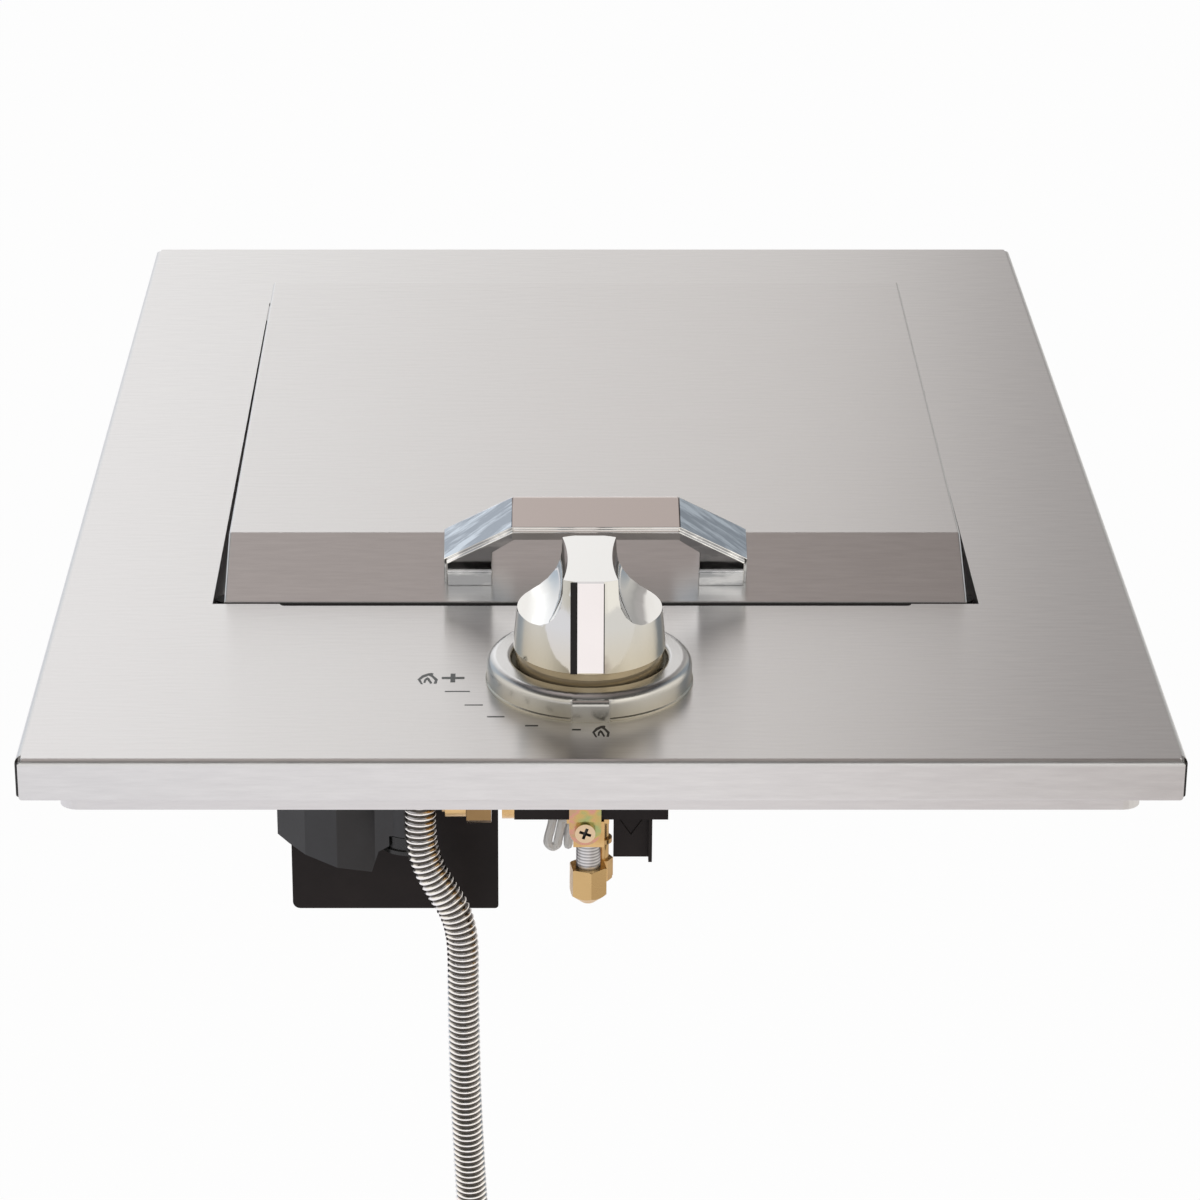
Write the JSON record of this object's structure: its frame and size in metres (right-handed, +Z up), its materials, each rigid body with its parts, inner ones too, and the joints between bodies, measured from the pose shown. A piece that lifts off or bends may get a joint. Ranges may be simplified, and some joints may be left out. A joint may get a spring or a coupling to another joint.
{
  "type": "built-in side burner",
  "caption": "Drop-in side burner: a steel deck with a sloped hinged lid and cast handle, a scooped control knob in a bezel, and the gas tap, igniter and flexible gas hose below.",
  "frame": {"origin": "middle of the deck, on the counter plane that the folded skirt rests on", "axes": "+Z up out of the counter, the front with the knob towards -Y, +X to the right seen from the front"},
  "size_m": [0.362, 0.508, 0.365],
  "materials": {
    "deck_steel": "brushed side to side, satin",
    "frame_steel": "plain sheet, dull",
    "hinge_steel": "plain sheet, dull",
    "screw_steel": "zinc plated",
    "handle_metal": "satin plated casting",
    "bezel_metal": "polished",
    "knob_chrome": "polished",
    "mark_black": "satin black",
    "stem_steel": "machined",
    "valve_brass": "machined",
    "strap_zinc": "yellow zinc plated",
    "black_paint": "semi-gloss black",
    "hose_steel": "corrugated, bright",
    "module_plastic": "moulded, dark grey",
    "cap_plastic": "moulded, black",
    "battery_case": "dark sleeve",
    "lead_sleeve": "soft grey sleeve",
    "tube_aluminium": "drawn tube",
    "stand_steel": "plain sheet",
    "burner_brass": "cast and turned",
    "enamel_black": "black enamel",
    "ceramic_white": "glazed",
    "grate_iron": "matt black enamel",
    "bumper_rubber": "moulded"
  },
  "bodies": {
    "deck": {"deck_panel": "deck_steel", "drop_in_frame": "frame_steel", "burner_box": "frame_steel", "grate_ledges": "frame_steel", "lid_bumpers": "bumper_rubber", "hinge_bracket_left": "hinge_steel", "hinge_bracket_right": "hinge_steel", "hinge_pins": "hinge_steel", "bezel": "bezel_metal", "bezel_screws": "screw_steel", "valve_body": "valve_brass", "valve_cover": "stem_steel", "cover_screws": "screw_steel", "ignition_switch": "module_plastic", "manifold": "black_paint", "manifold_plug": "black_paint", "saddle_strap": "strap_zinc", "strap_screw": "screw_steel", "outlet_nipple": "stem_steel", "cap_nut": "valve_brass", "bypass_screw": "valve_brass", "inlet_adapter": "valve_brass", "inlet_nut": "valve_brass", "inlet_elbow": "valve_brass", "hose": "hose_steel", "hose_end_nut": "valve_brass", "module_bracket": "black_paint", "ignition_module": "module_plastic", "rail_bracket": "black_paint", "rail_screw": "screw_steel", "bracket_studs": "screw_steel", "switch_lead": "lead_sleeve", "ignition_lead": "lead_sleeve", "orifice": "valve_brass", "venturi_tube": "tube_aluminium", "burner_stand": "stand_steel", "burner_body": "burner_brass", "burner_screws": "screw_steel", "electrode_bracket": "stand_steel", "electrode_ceramic": "ceramic_white", "electrode_pin": "screw_steel"},
    "lid": {"lid_shell": "deck_steel", "lid_arm_left": "hinge_steel", "lid_arm_right": "hinge_steel", "handle": "handle_metal", "handle_screws": "screw_steel"},
    "valve_rotor": {"valve_plug": "valve_brass"},
    "knob": {"knob": "knob_chrome", "knob_line": "mark_black", "valve_stem": "stem_steel"},
    "air_shutter": {"air_shutter": "tube_aluminium"},
    "grate": {"grate": "grate_iron"},
    "burner_cap": {"burner_cap": "enamel_black"},
    "battery_cap": {"battery_cap": "cap_plastic", "battery": "battery_case"}
  },
  "joints": [
    {"name": "lid_hinge", "type": "hinge", "parent": "deck", "child": "lid", "pos_m": [0, 0.17, 0.009], "axis": [-1, 0, 0], "range_deg": [0, 95]},
    {"name": "tap_turn", "type": "hinge", "parent": "deck", "child": "valve_rotor", "pos_m": [-0.0029, -0.1925, 0], "axis": [0, 0, 1], "range_deg": [0, 180]},
    {"name": "knob_push", "type": "slide", "parent": "valve_rotor", "child": "knob", "axis": [0, 0, -1], "range_m": [0, 0.003], "stiffness_N_per_m": 1500, "springref_m": -0.002},
    {"name": "air_shutter_turn", "type": "hinge", "parent": "deck", "child": "air_shutter", "pos_m": [-0.0029, -0.1467, -0.036], "axis": [0, 1, 0], "range_deg": [0, 60]},
    {"name": "grate_lift", "type": "slide", "parent": "deck", "child": "grate", "axis": [0, 0, 1], "range_m": [0, 0.016]},
    {"name": "burner_cap_lift", "type": "slide", "parent": "deck", "child": "burner_cap", "axis": [0, 0, 1], "range_m": [0, 0.012]},
    {"name": "battery_pull", "type": "slide", "parent": "deck", "child": "battery_cap", "axis": [0, 0, -1], "range_m": [0, 0.06]}
  ]
}
